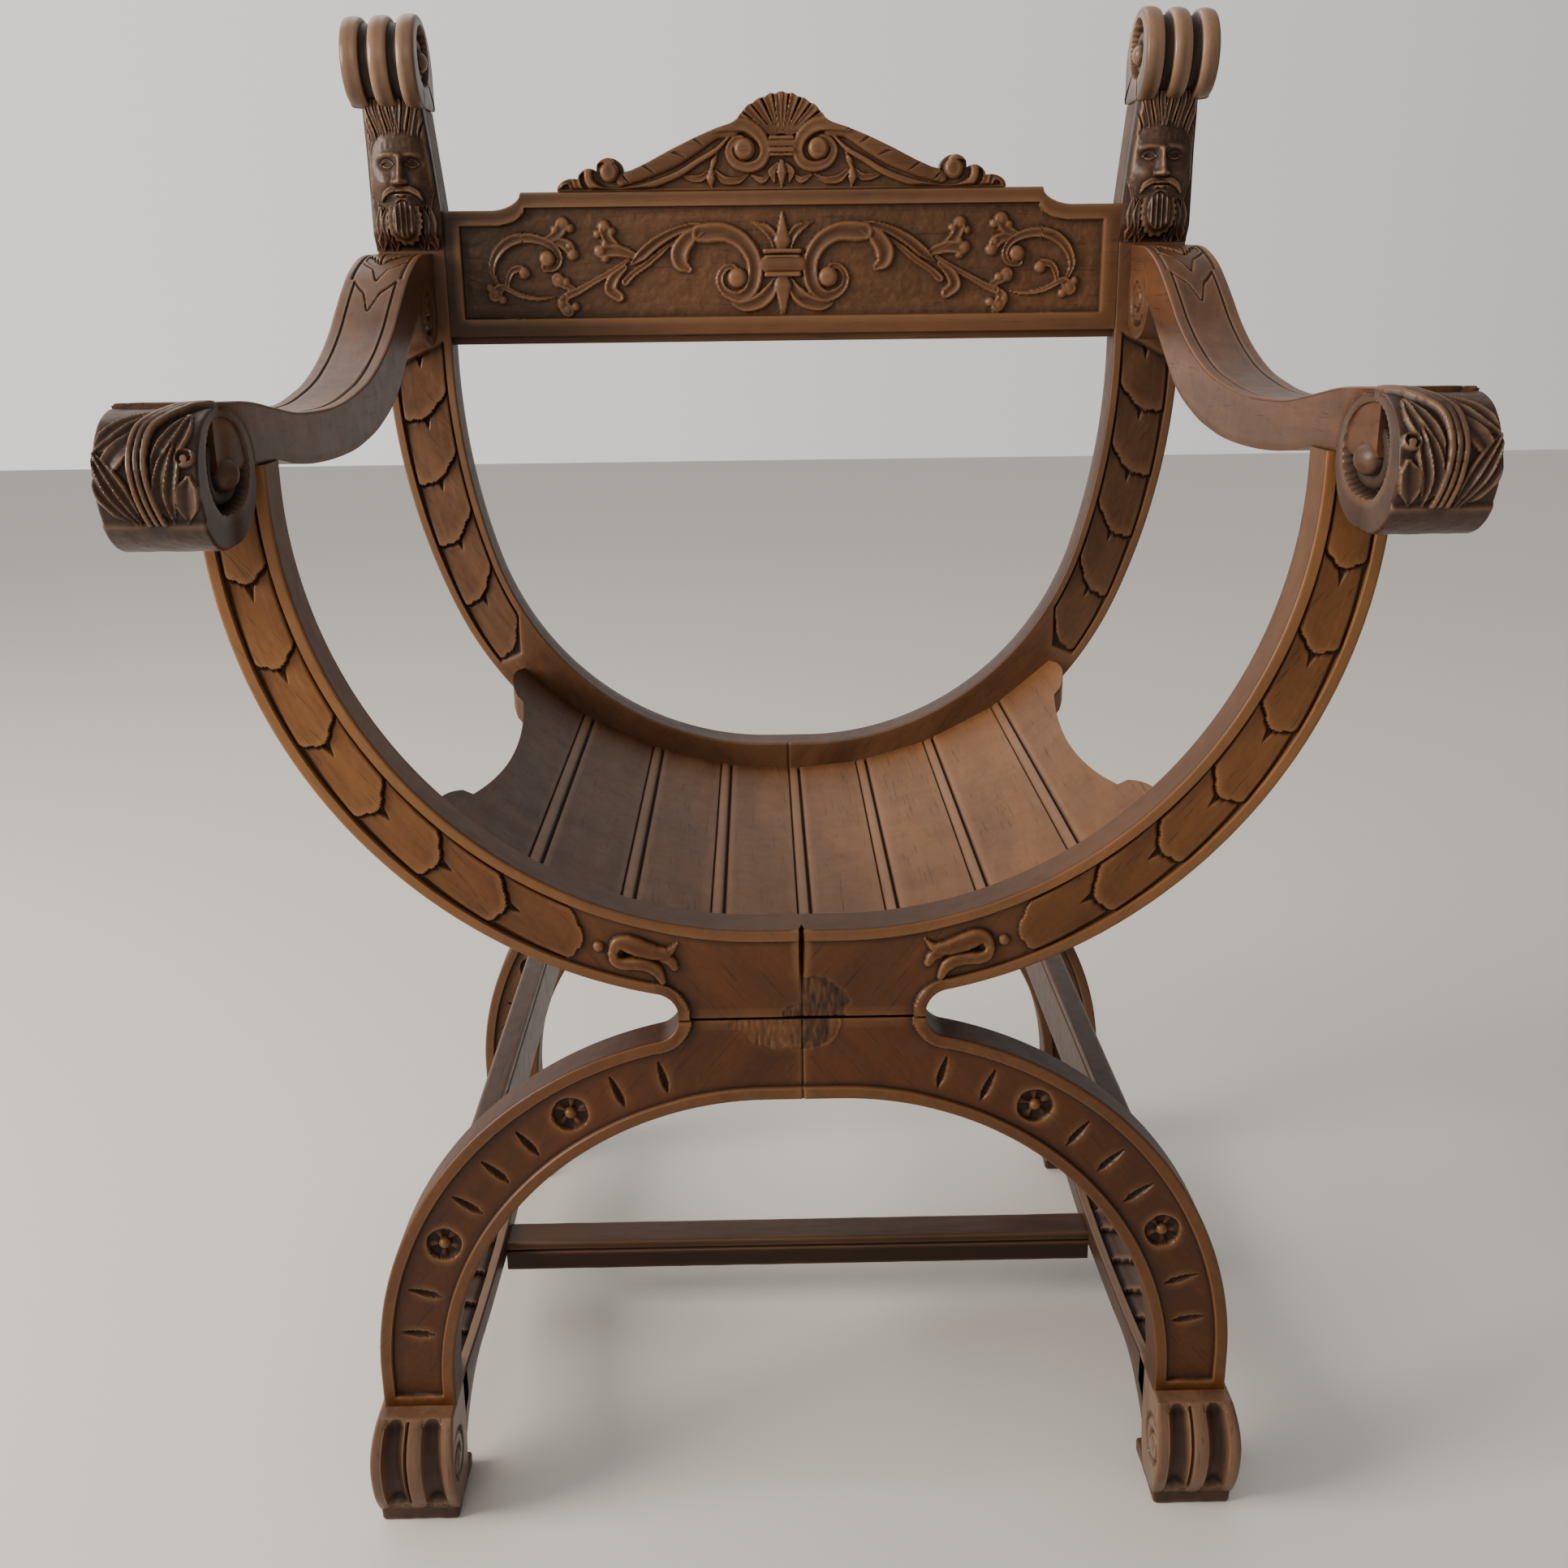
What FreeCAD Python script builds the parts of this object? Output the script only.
import FreeCAD, Part
import math
import os

from FreeCAD import Vector

# Carved X-frame armchair: two upright frames, each of an upper bowl and a lower arch cut in halves,
# tied by the boarded seat, side rails, runners, arms, a back panel and its crest.
# Origin: middle of the chair's footprint on the floor. +X to the sitter's left, +Y to the back, +Z up.
# All lengths are millimetres and all angles degrees.

# Stock and general fits
frame_thick = 27.0
side_depth = 443.0
overrun = 3.0
border = 7.0
ground_depth = 2.5
dowel_diameter = 8.0
dowel_reach = 15.0
tenon_length = 12.0

# Floor shoes under the four feet
shoe_thick = 9.5
shoe_inset = 1.5
shoe_toe = 11.0
shoe_heel = 42.0
shoe_chamfer = 2.0

# Scroll feet and runners, one sled on each side
foot_height = 70.5
foot_proud = 22.0
foot_toe = 11.0
foot_crown = 12.0
foot_side_proud = 7.5
foot_side_sole = 7.0
foot_side_crown = 2.0
foot_heel = 14.0
foot_back = 24.0
foot_shoulder = 40.0
runner_knee = 87.0
runner_thick = 19.0
runner_sag = 12.0
runner_leaf_end = 92.0
flute_width = 12.0
flute_depth = 4.0
flute_spread = 12.0
flute_margin = 5.0
foot_volute_radius = 20.0
foot_volute_width = 4.0

# Lower arch, the same in front and rear
leg_outer = 270.0
leg_width = 46.0
leg_straight = 12.0
arch_flat = 22.0
arch_outer_flat = 34.0
arch_crown = 53.0
arch_neck = 7.0
waist_radius = 15.5
leg_tenon_width = 24.0
leg_tenon_thick = 12.0
leg_tenon_length = 22.0

# Front bowl, the upper half of the front frame
half_width = 320.9
tip_width = 38.9
tip_straight = 12.0
bowl_flat = 23.0
bowl_outer_flat = 26.4
bowl_crown = 57.0
bowl_neck = 11.7
seam_opening = 1.0

# Rear bowl, whose ends run up as the back's uprights
upright_inner = 254.5
upright_width = 51.0
rear_flat = 15.5
rear_crown = 50.5
rear_ease = 13.0
rear_outer_ease = 17.5
rear_neck = 4.0
rear_rise = 85.5
rear_leaf_gap = 6.0
rear_leaf_rise = 74.0

# Seat boards, housed at both ends in the frames
board_count = 8
board_pitch = 55.8
board_thick = 12.0
board_housing = 6.0
seat_radius = 307.0
seat_drop = 28.0
seat_edge = 218.0
centre_gap = 0.8
bead_width = 7.5
quirk_width = 1.6
quirk_depth = 2.2
scallop_hollow = 22.0
scallop_cusp = 9.0
scallop_nib = 4.0
scallop_swell = 6.0

# Side rails between the arches, and the stretcher between the runners
rail_thick = 15.0
rail_height = 44.0
rail_drop = 32.0
rail_inset = 62.0
rail_quirk = 2.0
stretcher_depth = 28.0
stretcher_height = 24.0
stretcher_drop = 11.0
stretcher_quirk = 2.5
stretcher_bead = 6.0

# Arms with a scroll in front and a volute against the upright
arm_scroll_radius = 38.5
arm_scroll_reach = 43.0
arm_scroll_drop = 1.0
arm_scroll_lap = 29.9
arm_scroll_width = 51.0
arm_waist_lap = 2.4
arm_waist_sag = 4.0
arm_swell = 4.0
arm_rear_lap = 9.6
arm_rear_overhang = 3.0
arm_rise = 71.0
arm_crown = 111.0
arm_volute_radius = 28.0
arm_volute_bite = 4.0
arm_volute_tuck = 4.0
scroll_groove_radius = 24.0
scroll_groove_width = 5.0
scroll_groove_depth = 3.0
arm_waist_share = 0.3
# Each row: place along the arm from the scroll's centre to the upright, and height over the
# bowl's tip as a share of the arm's rise
arm_top_shares = ((0.17, 0.386), (0.34, 0.285), (0.5, 0.338), (0.65, 0.59), (0.77, 1.07), (0.856, 1.394))
arm_under_shares = ((0.8, 0.57), (0.71, 0.204), (0.61, -0.014), (0.46, -0.148), (0.28, -0.12))

# Back panel between the uprights
panel_thick = 22.0
panel_drop = 161.0
panel_height = 91.0
panel_shoulder = 12.5
panel_shoulder_half = 218.0
panel_top_half = 196.0
panel_frame_side = 11.5
panel_frame_top = 11.0
panel_frame_foot = 13.0
panel_ground_depth = 4.0
panel_lip = 6.0
panel_lip_thick = 15.0

# Crest on the back panel
crest_half = 168.5
crest_thick = 20.0
crest_height = 68.0
crest_bell_height = 8.5
crest_bead_height = 15.5
crest_scroll_place = 128.5
crest_scroll_height = 13.0
crest_scroll_radius = 10.0
crest_volute_place = 27.0
crest_volute_height = 28.5
crest_volute_radius = 17.0
crest_ribbon_height = 46.0
crest_neck_lean = 50.0
crest_fold_lean = 195.0
crest_neck_share = 1.2
crest_fold_share = 0.75
crest_ribbon_share = 0.64
shell_half = 35.0
shell_shoulder_share = 0.62
shell_shoulder_height_share = 0.9

# Heads of the uprights: a mask under a forward roll
neck_rise = 211.0
head_drop = 98.0
mask_proud = 20.0
mask_tuck = 14.0
roll_radius = 32.0
roll_reach = 13.0
roll_width = 58.0
roll_tuck_lean = 260.0
roll_eye_share = 0.6
reed_sweep = 150.0
reed_groove = 3.0
reed_back_radius = 40.0
head_dowel_drop = 40.0

# Levels and places worked out from the sizes above
foot_top = shoe_thick + foot_height
arch_radius = leg_outer - leg_width - arch_flat
arch_outer_radius = leg_outer - arch_outer_flat
arch_centre_z = foot_top + leg_straight
arch_top = arch_centre_z + arch_radius
seam_z = arch_top + arch_crown
arch_outer_z = seam_z - arch_neck - arch_outer_radius
bowl_radius = half_width - tip_width - bowl_flat
bowl_outer_radius = half_width - bowl_outer_flat
bowl_floor = seam_z + bowl_crown
bowl_centre_z = bowl_floor + bowl_radius
bowl_outer_z = seam_z + bowl_neck + bowl_outer_radius
tip_z = bowl_centre_z + tip_straight
front_y = (arm_scroll_reach + arm_scroll_radius - side_depth - foot_proud) / 2
front_back_y = front_y + frame_thick
rear_y = front_y + side_depth - frame_thick
back_y = front_y + side_depth
middle_y = front_y + side_depth / 2
upright_outer = upright_inner + upright_width
upright_middle = upright_inner + upright_width / 2
rear_floor = seam_z + rear_crown
rear_radius = upright_inner - rear_flat - rear_ease
rear_outer_radius = upright_outer - rear_flat - rear_outer_ease
rear_centre_z = rear_floor + rear_radius
rear_outer_z = seam_z + rear_neck + rear_outer_radius
rear_shoulder_z = rear_centre_z + rear_rise
neck_z = tip_z + neck_rise
panel_foot = neck_z - panel_drop
panel_side_top = panel_foot + panel_height
panel_top = panel_side_top + panel_shoulder
seat_centre_z = bowl_floor - seat_drop + seat_radius
seat_under_radius = seat_radius + board_thick
leg_inner = leg_outer - leg_width
leg_middle = leg_outer - leg_width / 2
foot_outer = leg_outer + foot_side_proud
arm_run = rear_y - front_y + arm_scroll_reach
arm_front_inner = half_width - arm_scroll_lap
arm_front_outer = arm_front_inner + arm_scroll_width
arm_rear_inner = upright_inner + arm_rear_lap
arm_rear_outer = upright_outer + arm_rear_overhang


def in_front(a, b):
    """A point of a face drawn in the plane of the frames, from its X and Z."""
    return Vector(a, 0, b)


def from_side(a, b):
    """A point of a face drawn in the plane of the chair's side, from its Y and Z."""
    return Vector(0, a, b)


def in_plan(a, b):
    """A point of a face drawn on the floor, from its X and Y."""
    return Vector(a, b, 0)


def polar(centre, radius, degrees):
    """The point at an angle on a circle of a drawing."""
    turn = math.radians(degrees)
    return (centre[0] + radius * math.cos(turn), centre[1] + radius * math.sin(turn))


def bearing(centre, point):
    """The angle at which a point is seen from a centre."""
    return math.degrees(math.atan2(point[1] - centre[1], point[0] - centre[0]))


class Outline:
    """A closed outline drawn edge by edge in one plane."""

    def __init__(self, start, lift=in_front):
        self.start = start
        self.here = start
        self.lift = lift
        self.edges = []

    def line(self, *points):
        """Straight edges on through the points."""
        for point in points:
            self.edges.append(Part.makeLine(self.lift(*self.here), self.lift(*point)))
            self.here = point
        return self

    def turn(self, centre, end, way):
        """An arc round a centre to the bearing of a point; way is 1 anticlockwise, -1 clockwise."""
        radius = math.dist(self.here, centre)
        first = bearing(centre, self.here)
        sweep = (bearing(centre, end) - first) * way % 360 * way
        middle = polar(centre, radius, first + sweep / 2)
        last = polar(centre, radius, first + sweep)
        arc = Part.Arc(self.lift(*self.here), self.lift(*middle), self.lift(*last))
        self.edges.append(arc.toShape())
        self.here = last
        return self

    def bow(self, end, rise):
        """An arc to a point that stands off its chord by rise, to the left of the way drawn."""
        run = (end[0] - self.here[0], end[1] - self.here[1])
        length = math.hypot(*run)
        middle = (self.here[0] + run[0] / 2 - run[1] / length * rise,
                  self.here[1] + run[1] / 2 + run[0] / length * rise)
        arc = Part.Arc(self.lift(*self.here), self.lift(*middle), self.lift(*end))
        self.edges.append(arc.toShape())
        self.here = end
        return self

    def curve(self, *points):
        """One smooth curve on through the points."""
        spline = Part.BSplineCurve()
        spline.interpolate([self.lift(*self.here)] + [self.lift(*point) for point in points])
        self.edges.append(spline.toShape())
        self.here = points[-1]
        return self

    def face(self):
        """The face inside the outline, closed by a straight edge where it is open."""
        if math.dist(self.here, self.start) > frame_thick / 1e6:
            self.line(self.start)
        return Part.Face(Part.Wire(self.edges))


def block(x_from, x_to, y_from, y_to, z_from, z_to):
    """A box between two corners."""
    return Part.makeBox(x_to - x_from, y_to - y_from, z_to - z_from, Vector(x_from, y_from, z_from))


def frame_slab(face, y_from, y_to):
    """A face of the frames' plane carried from one depth to another."""
    slab = face.extrude(Vector(0, y_to - y_from, 0))
    slab.translate(Vector(0, y_from, 0))
    return slab


def side_slab(face, x_from, x_to):
    """A face of the side's plane carried across from one X to another."""
    slab = face.extrude(Vector(x_to - x_from, 0, 0))
    slab.translate(Vector(x_from, 0, 0))
    return slab


def plan_slab(face, z_from, z_to):
    """A face of the plan carried up from one height to another."""
    slab = face.extrude(Vector(0, 0, z_to - z_from))
    slab.translate(Vector(0, 0, z_from))
    return slab


def mirrored(shape):
    """The same piece on the other side of the chair."""
    return shape.mirror(Vector(0, 0, 0), Vector(1, 0, 0))


def front_to_rear(shape):
    """The same piece turned about the middle of the chair's depth."""
    return shape.mirror(Vector(0, middle_y, 0), Vector(0, 1, 0))


def dowel(start, direction, reach):
    """A dowel that reaches as far to both sides of a joint."""
    way = Vector(*direction)
    return Part.makeCylinder(dowel_diameter / 2, 2 * reach, start - way * reach, way)


def meeting(centre_a, radius_a, centre_b, radius_b):
    """The right-hand point where two circles meet."""
    gap = math.dist(centre_a, centre_b)
    along = (radius_a ** 2 - radius_b ** 2 + gap ** 2) / (2 * gap)
    aside = math.sqrt(radius_a ** 2 - along ** 2)
    ux = (centre_b[0] - centre_a[0]) / gap
    uz = (centre_b[1] - centre_a[1]) / gap
    return (centre_a[0] + ux * along - uz * aside, centre_a[1] + uz * along + ux * aside)


def waist(outer_centre, outer_radius):
    """The centre of the round that joins a bowl's outside to the arch's outside."""
    arch_centre = (arch_outer_flat, arch_outer_z)
    return meeting(outer_centre, outer_radius + waist_radius,
                   arch_centre, arch_outer_radius + waist_radius)


def waist_at_seam(centre, radius):
    """Where the waist's round crosses the level seam."""
    return (centre[0] - math.sqrt(radius ** 2 - (seam_z - centre[1]) ** 2), seam_z)


def lower_half(waist_centre, inset=0):
    """The right half of the arch, from the level seam down to the foot."""
    round_off = waist_radius + inset
    arch_centre = (arch_outer_flat, arch_outer_z)
    inner_centre = (arch_flat, arch_centre_z)
    outer_x = leg_outer - inset
    inner_x = leg_inner + inset
    foot_z = foot_top + inset
    crown_z = arch_top + inset
    outline = Outline((0, seam_z))
    outline.line(waist_at_seam(waist_centre, round_off))
    outline.turn(waist_centre, arch_centre, 1)
    outline.turn(arch_centre, (outer_x, arch_outer_z), -1)
    outline.line((outer_x, foot_z), (inner_x, foot_z), (inner_x, arch_centre_z))
    outline.turn(inner_centre, (arch_flat, crown_z), 1)
    outline.line((0, crown_z))
    return outline.face()


def front_bowl_half(waist_centre, inset=0):
    """The right half of the front bowl, from the level seam up to the tip under the arm."""
    outer_centre = (bowl_outer_flat, bowl_outer_z)
    inner_centre = (bowl_flat, bowl_centre_z)
    floor_z = bowl_floor - inset
    inner_x = bowl_flat + bowl_radius + inset
    outer_x = half_width - inset
    outline = Outline((0, seam_z))
    outline.line((seam_opening, floor_z), (bowl_flat, floor_z))
    outline.turn(inner_centre, (inner_x, bowl_centre_z), 1)
    outline.line((inner_x, tip_z - inset), (outer_x, tip_z - inset), (outer_x, bowl_outer_z))
    outline.turn(outer_centre, waist_centre, -1)
    outline.turn(waist_centre, waist_at_seam(waist_centre, waist_radius + inset), 1)
    return outline.face()


def sweep_to_upright(radius, ease):
    """The radius of the long arc that carries the rear bowl's round into its upright."""
    reach = radius + ease
    return (reach ** 2 + rear_rise ** 2 - radius ** 2) / (2 * ease)


def rear_bowl_half(waist_centre, inset=0):
    """The right half of the rear bowl with its upright, from the level seam up to the neck."""
    centre = (rear_flat, rear_centre_z)
    outer_centre = (rear_flat, rear_outer_z)
    inner_x = upright_inner + inset
    outer_x = upright_outer - inset
    long_inner = sweep_to_upright(rear_radius, rear_ease)
    long_outer = sweep_to_upright(rear_outer_radius, rear_outer_ease)
    long_centre = (upright_inner - long_inner, rear_shoulder_z)
    outer_shoulder_z = rear_outer_z + rear_rise
    long_outer_centre = (upright_outer - long_outer, outer_shoulder_z)
    floor_z = rear_floor - inset
    top_z = neck_z - inset
    outer_turn = bearing(long_outer_centre, outer_centre)
    outline = Outline((0, seam_z))
    outline.line((0, floor_z), (rear_flat, floor_z))
    outline.turn(centre, polar(centre, rear_radius, bearing(long_centre, centre)), 1)
    outline.turn(long_centre, (inner_x, rear_shoulder_z), 1)
    outline.line((inner_x, top_z), (outer_x, top_z), (outer_x, outer_shoulder_z))
    outline.turn(long_outer_centre, polar(long_outer_centre, long_outer, outer_turn), -1)
    outline.turn(outer_centre, waist_centre, -1)
    outline.turn(waist_centre, waist_at_seam(waist_centre, waist_radius + inset), 1)
    return outline.face()


def with_ground(half, waist_centre, y_from, low=0, high=None):
    """A frame half as a slab, with the carver's ground sunk between its borders in front."""
    slab = frame_slab(half(waist_centre), y_from, y_from + frame_thick)
    ground = frame_slab(half(waist_centre, border), y_from - overrun, y_from + ground_depth)
    lane = block(0, 2 * half_width, y_from - overrun, y_from + ground_depth, low, high or neck_z)
    return slab.cut(ground.common(lane))


def seam_dowels(y_from, floor_z):
    """The four hidden dowels that hold the halves of one frame together."""
    y = y_from + frame_thick / 2
    upper_z = (seam_z + floor_z - seat_drop) / 2
    lower_z = (arch_top + seam_z) / 2
    side = dowel_reach + dowel_diameter
    return [dowel(Vector(side, y, seam_z), (0, 0, 1), dowel_reach),
            dowel(Vector(-side, y, seam_z), (0, 0, 1), dowel_reach),
            dowel(Vector(0, y, upper_z - dowel_diameter), (1, 0, 0), dowel_reach),
            dowel(Vector(0, y, lower_z - dowel_diameter), (1, 0, 0), dowel_reach)]


def board_corner(x, radius):
    """The point over an X of the seat's top that lies on a radius of the seat's hollow."""
    angle = math.asin(x / seat_radius)
    return (radius * math.sin(angle), seat_centre_z - radius * math.cos(angle))


def scallop_face():
    """The plan of one side of the seat: a long hollow between two nibbed lobes at the frames."""
    lobe = front_back_y + (rear_y - front_back_y) / 5
    nib_x = seat_edge - scallop_cusp
    hollow = scallop_hollow - scallop_cusp - scallop_nib
    start = front_y
    outline = Outline((0, start), in_plan)
    outline.line((seat_edge, start), (seat_edge - scallop_nib, front_back_y))
    outline.bow((nib_x, lobe), -scallop_swell)
    outline.line((nib_x - scallop_nib, lobe))
    far = 2 * middle_y - lobe
    outline.bow((nib_x - scallop_nib, far), hollow)
    outline.line((nib_x, far))
    outline.bow((seat_edge - scallop_nib, rear_y), -scallop_swell)
    outline.line((seat_edge, back_y), (0, back_y))
    return outline.face()


def seat_board(number, side_plan):
    """One board of the seat: mitred to its neighbours, beaded on one edge, housed at its ends."""
    middle = board_count / 2
    left = (number - 1 - middle) * board_pitch
    right = left + board_pitch
    if number == middle:
        right -= centre_gap
    if number == middle + 1:
        left += centre_gap
    if number == 1:
        left = -seat_edge
    if number == board_count:
        right = seat_edge
    top_left = board_corner(left, seat_radius)
    top_right = board_corner(right, seat_radius)
    outline = Outline(top_left)
    outline.line(top_right, board_corner(right, seat_under_radius))
    outline.line(board_corner(left, seat_under_radius))
    board = frame_slab(outline.face(), front_back_y - board_housing, rear_y + board_housing)
    if number in (1, board_count):
        board = board.common(side_plan)
    if number > 1:
        length = math.dist(top_left, top_right)
        along = ((top_right[0] - top_left[0]) / length, (top_right[1] - top_left[1]) / length)
        quirk = block(bead_width, bead_width + quirk_width, front_back_y, rear_y,
                      -quirk_depth, overrun)
        quirk.rotate(Vector(0, 0, 0), Vector(0, -1, 0), bearing((0, 0), along))
        quirk.translate(Vector(top_left[0], 0, top_left[1]))
        board = board.cut(quirk)
    return board


def ring_groove(side_x, y, z, radius, width, depth, way):
    """A ring cut into a side face round a volute's eye."""
    axis = Vector(way, 0, 0)
    start = Vector(side_x, y, z) - axis * overrun
    outer = Part.makeCylinder(radius, overrun + depth, start, axis)
    return outer.cut(Part.makeCylinder(radius - width, overrun + depth, start, axis))


def side_rail():
    """The right side rail, with a quirk under its inner top edge and a tenon at each end."""
    outer = leg_outer - rail_inset
    inner = outer - rail_thick
    top = arch_top - rail_drop
    foot = top - rail_height
    rail = block(inner, outer, front_back_y, rear_y, foot, top)
    quirk_z = top - rail_thick / 2
    rail = rail.cut(block(inner - overrun, inner + rail_quirk, front_back_y - overrun,
                          rear_y + overrun, quirk_z, quirk_z + rail_quirk))
    tenon = block(inner + rail_thick / 4, outer - rail_thick / 4, front_back_y - tenon_length,
                  rear_y + tenon_length, foot + rail_height / 5, top - rail_height / 5)
    return rail.fuse(tenon).removeSplitter()


def runner_level(y):
    """The height of the runner's top at a depth, on its shallow sag between the feet."""
    half = side_depth / 2 - foot_shoulder
    share = (y - middle_y) / half
    return foot_top - runner_sag * (1 - share ** 2)


def stretcher():
    """The cross stretcher between the runners, tenoned at both ends."""
    top = runner_level(middle_y) - runner_thick - stretcher_drop + stretcher_height
    y_from = middle_y - stretcher_depth / 2
    y_to = middle_y + stretcher_depth / 2
    bar = block(-leg_inner, leg_inner, y_from, y_to, top - stretcher_height, top)
    quirk_z = top - stretcher_bead - stretcher_quirk
    bar = bar.cut(block(-leg_inner - overrun, leg_inner + overrun, y_from - overrun,
                        y_from + stretcher_quirk, quirk_z, quirk_z + stretcher_quirk))
    reach = leg_inner + tenon_length
    runner_foot = top - stretcher_height + stretcher_drop
    tenon = block(-reach, reach, y_from + stretcher_depth / 4, y_to - stretcher_depth / 4,
                  runner_foot + stretcher_quirk, top - stretcher_quirk)
    return bar.fuse(tenon).removeSplitter()


def leg_tenon(y_from):
    """The tenon under one leg that stands in its foot."""
    y = y_from + frame_thick / 2
    return block(leg_middle - leg_tenon_width / 2, leg_middle + leg_tenon_width / 2,
                 y - leg_tenon_thick / 2, y + leg_tenon_thick / 2,
                 foot_top - leg_tenon_length, foot_top + overrun)


def nose_radius(reach, height):
    """The radius of an arc that starts upright and falls back by reach over a height."""
    return (reach ** 2 + height ** 2) / (2 * reach)


def foot_outline():
    """The side view of the front foot: a roll in front, flat below, its shoulder under the leg."""
    half = foot_height / 2
    nose = (front_y - foot_proud, shoe_thick + half)
    toe = front_y - foot_toe
    crown = front_y - foot_crown
    outline = Outline((toe, shoe_thick), from_side)
    outline.turn((nose[0] + nose_radius(toe - nose[0], half), nose[1]), nose, -1)
    outline.turn((nose[0] + nose_radius(crown - nose[0], half), nose[1]), (crown, foot_top), -1)
    outline.line((front_y + foot_shoulder, foot_top))
    outline.line((front_y + foot_shoulder, runner_level(front_y + foot_shoulder) - runner_thick))
    outline.bow((front_y + foot_back, nose[1] - foot_height / 5), foot_heel / -5)
    outline.line((front_y + foot_heel, shoe_thick))
    return outline.face()


def foot_front():
    """The front view of the right foot, whose outer side swells between its roll and its sole."""
    half = foot_height / 2
    side = (foot_outer, shoe_thick + half)
    sole = leg_outer + foot_side_sole
    crown = leg_outer + foot_side_crown
    outline = Outline((leg_inner, shoe_thick))
    outline.line((sole, shoe_thick))
    outline.turn((side[0] - nose_radius(side[0] - sole, half), side[1]), side, 1)
    outline.turn((side[0] - nose_radius(side[0] - crown, half), side[1]), (crown, foot_top), 1)
    outline.line((leg_inner, foot_top))
    return outline.face()


def runner_outline():
    """The side view of the thin runner between the two feet, sagging a little to its middle."""
    knee = front_y + runner_knee
    far_knee = back_y - runner_knee
    heel = front_y + foot_back
    far_heel = back_y - foot_back
    heel_z = foot_top - runner_thick - foot_height / 4
    knee_z = runner_level(knee) - runner_thick
    outline = Outline((heel, foot_top), from_side)
    outline.line((front_y + foot_shoulder, foot_top))
    sag = runner_level(front_y + foot_shoulder) - runner_level(middle_y)
    outline.bow((back_y - foot_shoulder, foot_top), -sag)
    outline.line((far_heel, foot_top), (far_heel, heel_z))
    outline.bow((far_knee, knee_z), foot_heel / -3)
    outline.bow((knee, knee_z), knee_z - runner_level(middle_y) + runner_thick)
    outline.bow((heel, heel_z), foot_heel / -3)
    return outline.face()


def flute(x):
    """One round-ended flute that follows the round of the front foot."""
    radius = flute_width / 2
    half = foot_height / 2
    nose = Vector(x, front_y - foot_proud + flute_depth - radius, shoe_thick + half)
    ring = Part.Face(Part.Wire(Part.makeCircle(radius, nose, Vector(0, 0, 1))))
    parts = []
    for fall, axis in ((foot_proud - foot_crown, -1), (foot_proud - foot_toe, 1)):
        round_off = nose_radius(fall, half)
        centre = Vector(x, front_y - foot_proud + round_off, nose.z)
        reach = centre.y - nose.y
        sweep = math.asin((half - flute_margin - radius) / reach)
        parts.append(ring.revolve(centre, Vector(axis, 0, 0), math.degrees(sweep)))
        end = centre + Vector(0, -reach * math.cos(sweep), -axis * reach * math.sin(sweep))
        parts.append(Part.makeSphere(radius, end))
    return parts[0].fuse(parts[1:])


def right_runner():
    """The right sled: its runner with a scroll foot at each end, mortised for legs and stretcher."""
    middle = (leg_inner + foot_outer) / 2
    foot = side_slab(foot_outline(), leg_inner, foot_outer)
    foot = foot.common(frame_slab(foot_front(), front_y - 2 * foot_proud, front_y + 2 * foot_shoulder))
    foot = foot.cut([flute(middle - flute_spread), flute(middle + flute_spread)])
    volute_y = front_y - foot_proud / 4
    volute_z = shoe_thick + foot_height / 2
    foot = foot.cut(ring_groove(leg_inner, volute_y, volute_z, foot_volute_radius,
                                foot_volute_width, foot_volute_width / 2, 1))
    bar = side_slab(runner_outline(), leg_inner, leg_outer)
    sled = bar.fuse([foot, front_to_rear(foot)]).removeSplitter()
    lane_from = front_y + runner_leaf_end
    lane_to = back_y - runner_leaf_end
    low = runner_level(middle_y)
    for y_from, y_to in ((front_y + foot_shoulder + border, lane_from),
                         (lane_to, back_y - foot_shoulder - border)):
        sled = sled.cut(block(leg_inner + border, leg_outer - border, y_from, y_to,
                              low + runner_sag / 2, foot_top + overrun))
    return sled.cut([leg_tenon(front_y), leg_tenon(rear_y), stretcher()])


def shoe():
    """The thin floor shoe under the front right foot."""
    pad = block(leg_inner + shoe_inset, foot_outer - shoe_inset, front_y - shoe_toe,
                front_y + shoe_heel, 0, shoe_thick)
    low = [edge for edge in pad.Edges if edge.BoundBox.ZMax < shoe_thick / 2]
    return pad.makeChamfer(shoe_chamfer, low)


def arm_outline():
    """The side view of an arm: front scroll, sagging rest, then up into the rear volute."""
    scroll = (front_y - arm_scroll_reach, tip_z - arm_scroll_drop)
    rest_start = (scroll[0] + math.sqrt(arm_scroll_radius ** 2 - arm_scroll_drop ** 2), tip_z)
    volute = (rear_y - arm_volute_radius + arm_volute_bite, tip_z + arm_rise)
    face_reach = math.sqrt(arm_volute_radius ** 2 - (rear_y - volute[0]) ** 2)
    notch = math.sqrt(arm_volute_radius ** 2 - arm_volute_tuck ** 2)
    tops = [(scroll[0] + along * arm_run, tip_z + high * arm_rise) for along, high in arm_top_shares]
    unders = [(scroll[0] + along * arm_run, tip_z + high * arm_rise)
              for along, high in arm_under_shares]
    outline = Outline(rest_start, from_side)
    outline.turn(scroll, (scroll[0] - arm_scroll_radius, scroll[1]), -1)
    outline.turn(scroll, (scroll[0], scroll[1] + arm_scroll_radius), -1)
    outline.curve(*tops, (rear_y, tip_z + arm_crown))
    outline.line((rear_y, volute[1] - face_reach))
    outline.turn(volute, (volute[0] - notch, volute[1] - arm_volute_tuck), -1)
    outline.curve(*unders, (front_back_y + overrun, tip_z))
    return outline.face()


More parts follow.
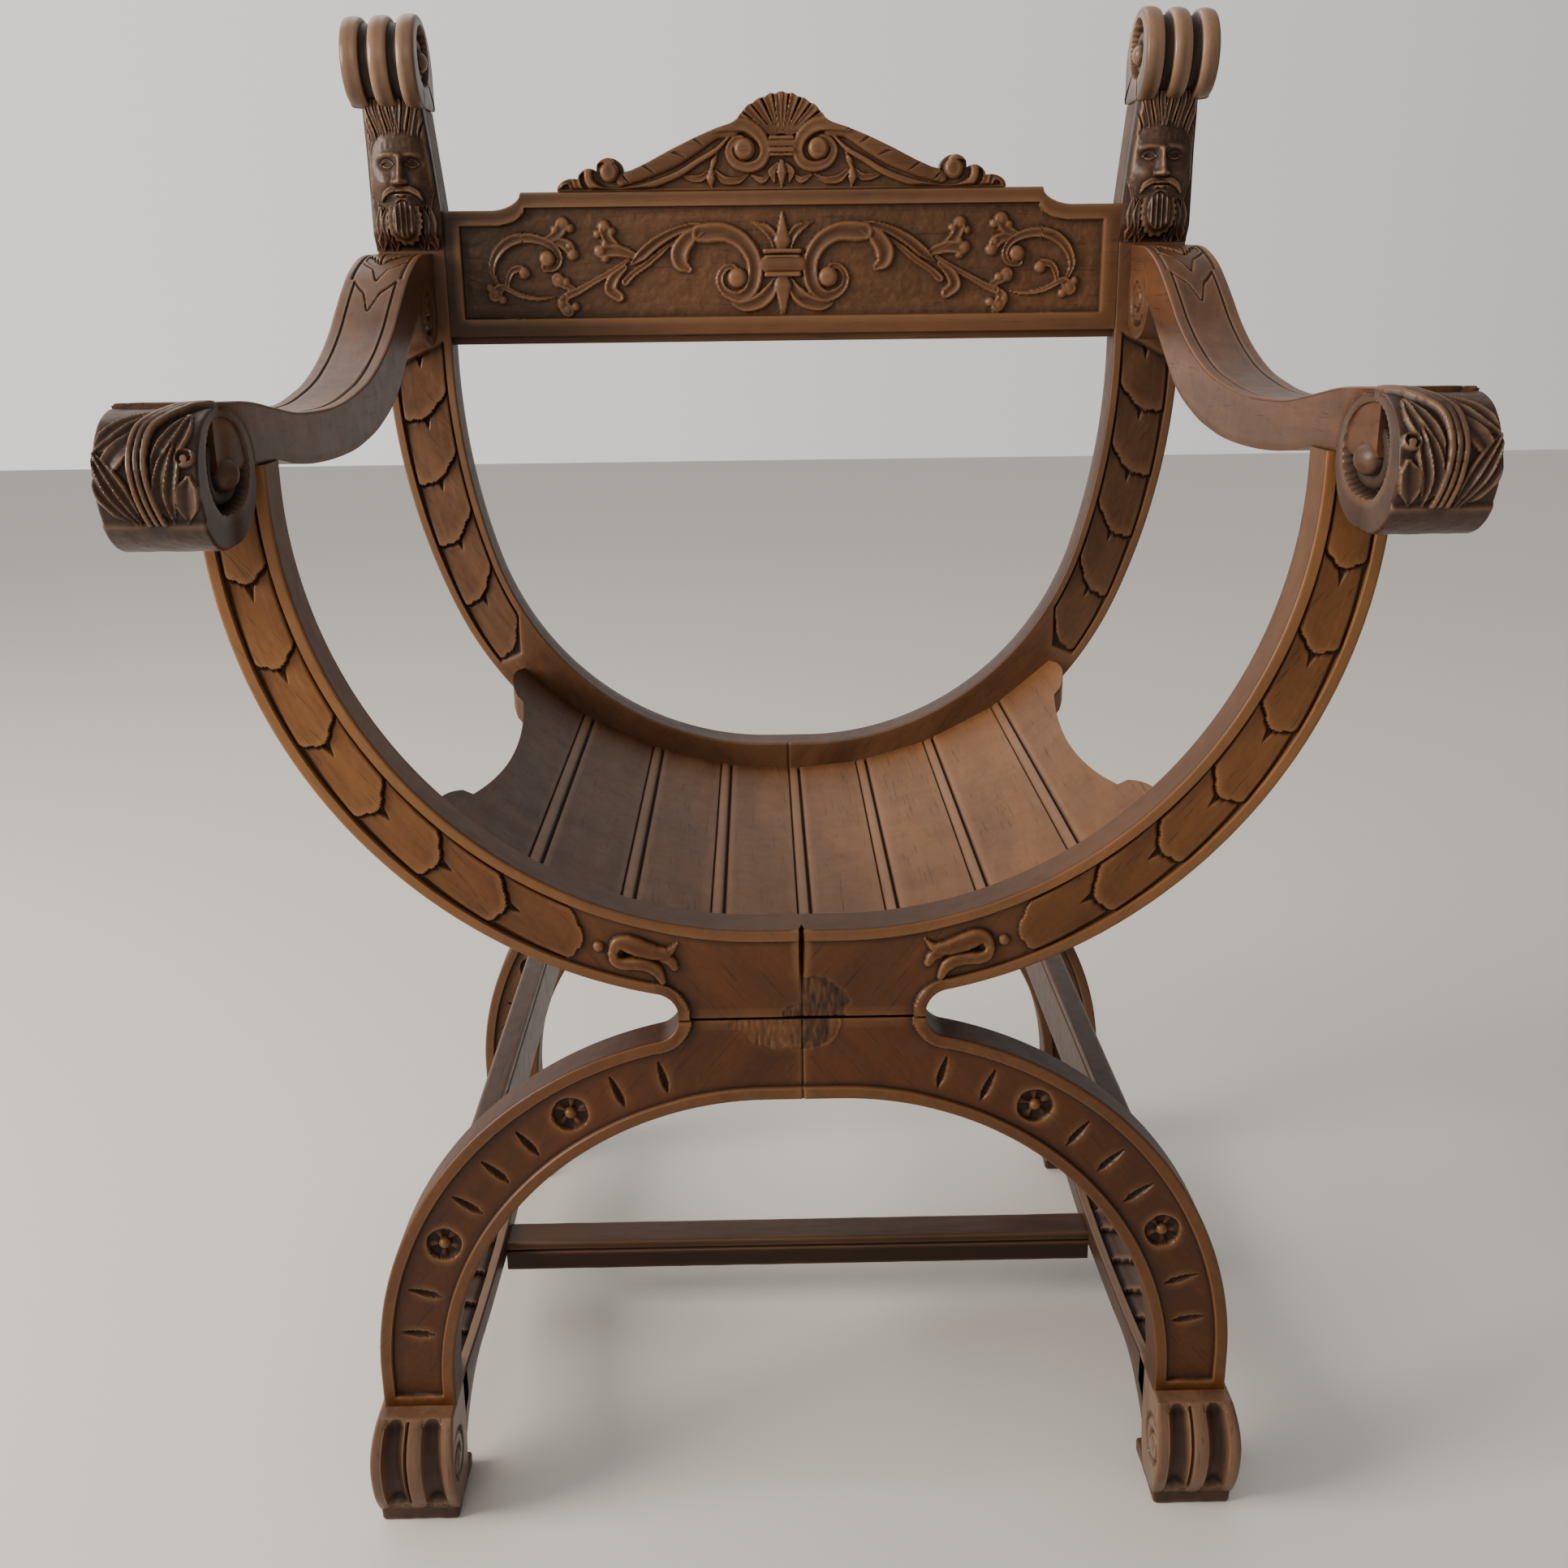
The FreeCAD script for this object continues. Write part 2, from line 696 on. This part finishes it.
def arm_plan():
    """The plan of the right arm, widening from the upright to the front scroll."""
    inner_tip = half_width - tip_width
    nose = front_y - arm_scroll_reach
    waist_y = front_back_y + (rear_y - front_back_y) * arm_waist_share
    outline = Outline((arm_rear_inner, back_y), in_plan)
    outline.line((arm_rear_inner, rear_y), (inner_tip, front_back_y), (arm_front_inner, nose))
    outline.line((arm_front_inner, nose - 2 * arm_scroll_radius))
    outline.line((arm_front_outer, nose - 2 * arm_scroll_radius), (arm_front_outer, nose))
    outline.bow((half_width - arm_waist_lap, waist_y), arm_waist_sag)
    outline.bow((arm_rear_outer, rear_y), -arm_swell)
    outline.line((arm_rear_outer, back_y))
    return outline.face()


def right_arm():
    """The right arm, ringed round the eye of its scroll on both sides."""
    arm = side_slab(arm_outline(), arm_rear_inner - overrun, arm_front_outer + overrun)
    arm = arm.common(plan_slab(arm_plan(), 0, tip_z + 2 * arm_crown))
    y = front_y - arm_scroll_reach
    z = tip_z - arm_scroll_drop
    return arm.cut([ring_groove(arm_front_inner, y, z, scroll_groove_radius, scroll_groove_width,
                                scroll_groove_depth, 1),
                    ring_groove(arm_front_outer, y, z, scroll_groove_radius, scroll_groove_width,
                                scroll_groove_depth, -1)])


def panel_outline(side, foot, top):
    """The back panel's outline, or its sunk field's with the three margins given."""
    half = upright_inner - side
    shoulder_z = panel_side_top - top
    high_z = panel_top - top
    shoulder = panel_shoulder_half - side / 4
    high = panel_top_half - side / 4
    outline = Outline((-half, panel_foot + foot))
    outline.line((half, panel_foot + foot), (half, shoulder_z), (shoulder, shoulder_z))
    outline.bow((high, high_z), panel_shoulder / 5)
    outline.line((-high, high_z))
    outline.bow((-shoulder, shoulder_z), panel_shoulder / 5)
    outline.line((-half, shoulder_z))
    return outline.face()


def back_panel():
    """The back panel with its sunk field and thin lip, tongued into the uprights."""
    panel = frame_slab(panel_outline(0, 0, 0), rear_y, rear_y + panel_thick)
    field = panel_outline(panel_frame_side, panel_frame_foot, panel_frame_top)
    panel = panel.cut(frame_slab(field, rear_y - overrun, rear_y + panel_ground_depth))
    lip_y = rear_y + panel_thick
    lip = block(-upright_inner, upright_inner, lip_y - panel_lip_thick, lip_y,
                panel_foot - panel_lip, panel_foot)
    return panel.fuse([lip, panel_tongue()]).removeSplitter()


def panel_tongue():
    """The tongue through the panel whose two ends stand in the uprights."""
    reach = upright_inner + tenon_length
    y = rear_y + panel_thick / 2
    return block(-reach, reach, y - panel_ground_depth, y + panel_ground_depth,
                 panel_foot + panel_frame_foot, panel_side_top - panel_frame_top)


def crest():
    """The crest: end bell, small scroll, ribbon up to the big volute, and the shell on top."""
    base = panel_top
    small = (crest_scroll_place, base + crest_scroll_height)
    big = (crest_volute_place, base + crest_volute_height)
    bell = (crest_half - crest_bell_height, base + crest_bell_height)
    bead = (crest_scroll_place + 2 * crest_scroll_radius, base + crest_bead_height)
    neck = polar(small, crest_scroll_radius * crest_neck_share, crest_neck_lean)
    ribbon_top = (big[0] + crest_volute_radius * crest_ribbon_share, base + crest_ribbon_height)
    shell_foot = (shell_half, base + crest_ribbon_height + crest_volute_radius / 8)
    shoulder = (shell_half * shell_shoulder_share,
                base + crest_height * shell_shoulder_height_share)
    outline = Outline((0, base))
    outline.line((crest_half, base))
    outline.bow(bell, crest_bell_height / -3)
    outline.bow(bead, crest_bell_height / -4)
    outline.bow(neck, crest_bell_height / -6)
    outline.bow(polar(small, crest_scroll_radius, crest_fold_lean), -crest_scroll_radius * crest_fold_share)
    outline.bow(ribbon_top, crest_scroll_radius / 4)
    outline.line(shell_foot)
    outline.bow(shoulder, crest_scroll_radius / -5)
    outline.bow((0, base + crest_height), crest_scroll_radius / -7)
    half = outline.face().extrude(Vector(0, crest_thick, 0))
    whole = half.fuse(mirrored(half)).removeSplitter()
    whole.translate(Vector(0, rear_y, 0))
    return whole


def head_outline():
    """The side view of a head: bulging mask below, and the roll that curls forward above it."""
    roll = (rear_y - roll_reach, neck_z + roll_radius - border / 7)
    back = (roll[0], roll[1] + roll_radius - reed_back_radius)
    foot = neck_z - head_drop
    outline = Outline((rear_y, foot), from_side)
    outline.bow((rear_y - mask_proud, foot + mask_tuck), mask_proud / 6)
    outline.bow(polar(roll, roll_radius, roll_tuck_lean), mask_proud / 8)
    outline.turn(roll, (roll[0] - roll_radius, roll[1]), -1)
    outline.turn(roll, (roll[0], roll[1] + roll_radius), -1)
    outline.turn(back, (back[0] + reed_back_radius, back[1]), -1)
    outline.line((back[0] + reed_back_radius, neck_z), (rear_y, neck_z))
    return outline.face()


def reed_grooves():
    """The two rounded grooves over a roll that part its three reeds."""
    roll = Vector(0, rear_y - roll_reach, neck_z + roll_radius - border / 7)
    grooves = []
    for side in (-1, 1):
        top = roll + Vector(upright_middle + side * roll_width / 6, 0, roll_radius)
        ring = Part.Face(Part.Wire(Part.makeCircle(reed_groove, top, Vector(0, 1, 0))))
        grooves.append(ring.revolve(roll, Vector(1, 0, 0), reed_sweep))
        back = roll + Vector(0, 0, roll_radius - reed_back_radius)
        grooves.append(ring.revolve(back, Vector(1, 0, 0), -90))
    return grooves


def right_head():
    """The head of the right upright: mask block as wide as the upright, roll a little wider."""
    face = head_outline()
    slab = side_slab(face, upright_middle - roll_width / 2, upright_middle + roll_width / 2)
    under = neck_z + border
    foot = neck_z - 2 * head_drop
    for inner, outer in ((upright_middle - roll_width, upright_inner),
                         (upright_outer, upright_middle + roll_width)):
        slab = slab.cut(block(inner, outer, rear_y - 2 * roll_width, back_y + overrun, foot, under))
    slab = slab.cut(reed_grooves())
    y = rear_y - roll_reach
    z = neck_z + roll_radius - border / 7
    rings = [ring_groove(upright_middle - roll_width / 2, y, z, roll_radius * roll_eye_share,
                         scroll_groove_width, scroll_groove_depth, 1),
             ring_groove(upright_middle + roll_width / 2, y, z, roll_radius * roll_eye_share,
                         scroll_groove_width, scroll_groove_depth, -1)]
    return slab.cut(rings)


def both_sides(shapes):
    """The shapes of the right side, and the same ones on the left."""
    return shapes + [mirrored(shape) for shape in shapes]


def arm_dowels():
    """Right-hand dowels of the arm: down into the bowl's tip, and back into the upright."""
    tip = Vector(half_width - tip_width / 2, front_y + frame_thick / 2, tip_z)
    volute = Vector((arm_rear_inner + upright_outer) / 2, rear_y, tip_z + arm_rise)
    return [dowel(tip, (0, 0, 1), dowel_reach), dowel(volute, (0, 1, 0), dowel_reach)]


def head_dowels():
    """Right-hand dowels of the head: one back into the upright, one down into its top."""
    back = Vector(upright_middle, rear_y, neck_z - head_dowel_drop)
    down = Vector(upright_middle, rear_y + frame_thick / 2, neck_z)
    return [dowel(back, (0, 1, 0), dowel_reach - overrun), dowel(down, (0, 0, 1), dowel_reach)]


def crest_dowels():
    """Right-hand dowel of the crest down into the panel's top edge."""
    place = Vector(crest_scroll_place / 2, rear_y + panel_thick / 2, panel_top)
    return [dowel(place, (0, 0, 1), dowel_reach)]


def save(name, shape):
    """Check one piece, or one set of like pieces, and write it under its own name."""
    solids = shape if isinstance(shape, list) else [shape]
    for solid in solids:
        if not solid.isValid() or len(solid.Solids) != 1:
            raise ValueError(name + " is not one sound solid: " + str(len(solid.Solids)))
    whole = Part.makeCompound(solids) if len(solids) > 1 else solids[0].Solids[0]
    whole.exportStep(os.path.join("parts", name + ".step"))
    print(name, round(sum(solid.Volume for solid in solids) / 1000, 1), "cm3")


def save_pair(name, shape):
    """Write a right-hand piece and its left-hand twin."""
    save("right_" + name, shape)
    save("left_" + name, mirrored(shape))


def main():
    """Build every piece and write it out."""
    os.makedirs("parts", exist_ok=True)
    front_waist = waist((bowl_outer_flat, bowl_outer_z), bowl_outer_radius)
    rear_waist = waist((rear_flat, rear_outer_z), rear_outer_radius)
    plan = plan_slab(scallop_face(), 0, tip_z)
    plan = plan.fuse(mirrored(plan)).removeSplitter()
    boards = [seat_board(number, plan) for number in range(1, board_count + 1)]
    for number, board in enumerate(boards, 1):
        save("seat_board_" + str(number), board)
    right_boards = boards[board_count // 2:]
    left_boards = boards[:board_count // 2]

    front_dowels = seam_dowels(front_y, bowl_floor)
    rear_dowels = seam_dowels(rear_y, rear_floor)
    rail = side_rail()
    arm_pegs = arm_dowels()
    head_pegs = head_dowels()
    crest_pegs = crest_dowels()
    tongue = panel_tongue()

    front_upper = with_ground(front_bowl_half, front_waist, front_y).cut(arm_pegs + front_dowels)
    save("front_upper_right", front_upper.cut(right_boards))
    save("front_upper_left", mirrored(front_upper).cut(left_boards))
    leaf_low = bowl_floor + rear_leaf_rise
    leaf_high = tip_z + arm_rise - arm_volute_radius - rear_leaf_gap
    rear_upper = with_ground(rear_bowl_half, rear_waist, rear_y, leaf_low, leaf_high)
    rear_upper = rear_upper.cut(arm_pegs + head_pegs + rear_dowels + [tongue])
    save("rear_upper_right", rear_upper.cut(right_boards))
    save("rear_upper_left", mirrored(rear_upper).cut(left_boards))

    for place, waist_centre, y, pegs in (("front", front_waist, front_y, front_dowels),
                                         ("rear", rear_waist, rear_y, rear_dowels)):
        lower = with_ground(lower_half, waist_centre, y).cut(pegs + [rail])
        lower = lower.fuse(leg_tenon(y)).removeSplitter()
        save(place + "_lower_right", lower)
        save(place + "_lower_left", mirrored(lower))
        save(place + "_frame_dowels", pegs)

    save_pair("side_rail", rail)
    save_pair("runner", right_runner())
    save("cross_stretcher", stretcher())
    front_shoe = shoe()
    save_pair("front_shoe", front_shoe)
    save_pair("rear_shoe", front_to_rear(front_shoe))
    save_pair("arm", right_arm().cut(arm_pegs))
    save_pair("head", right_head().cut(head_pegs))
    save("back_panel", back_panel().cut(both_sides(crest_pegs)))
    save("crest", crest().cut(both_sides(crest_pegs)))
    save("arm_dowels", both_sides(arm_pegs))
    save("head_dowels", both_sides(head_pegs))
    save("crest_dowels", both_sides(crest_pegs))


if __name__ == "__main__":
    main()
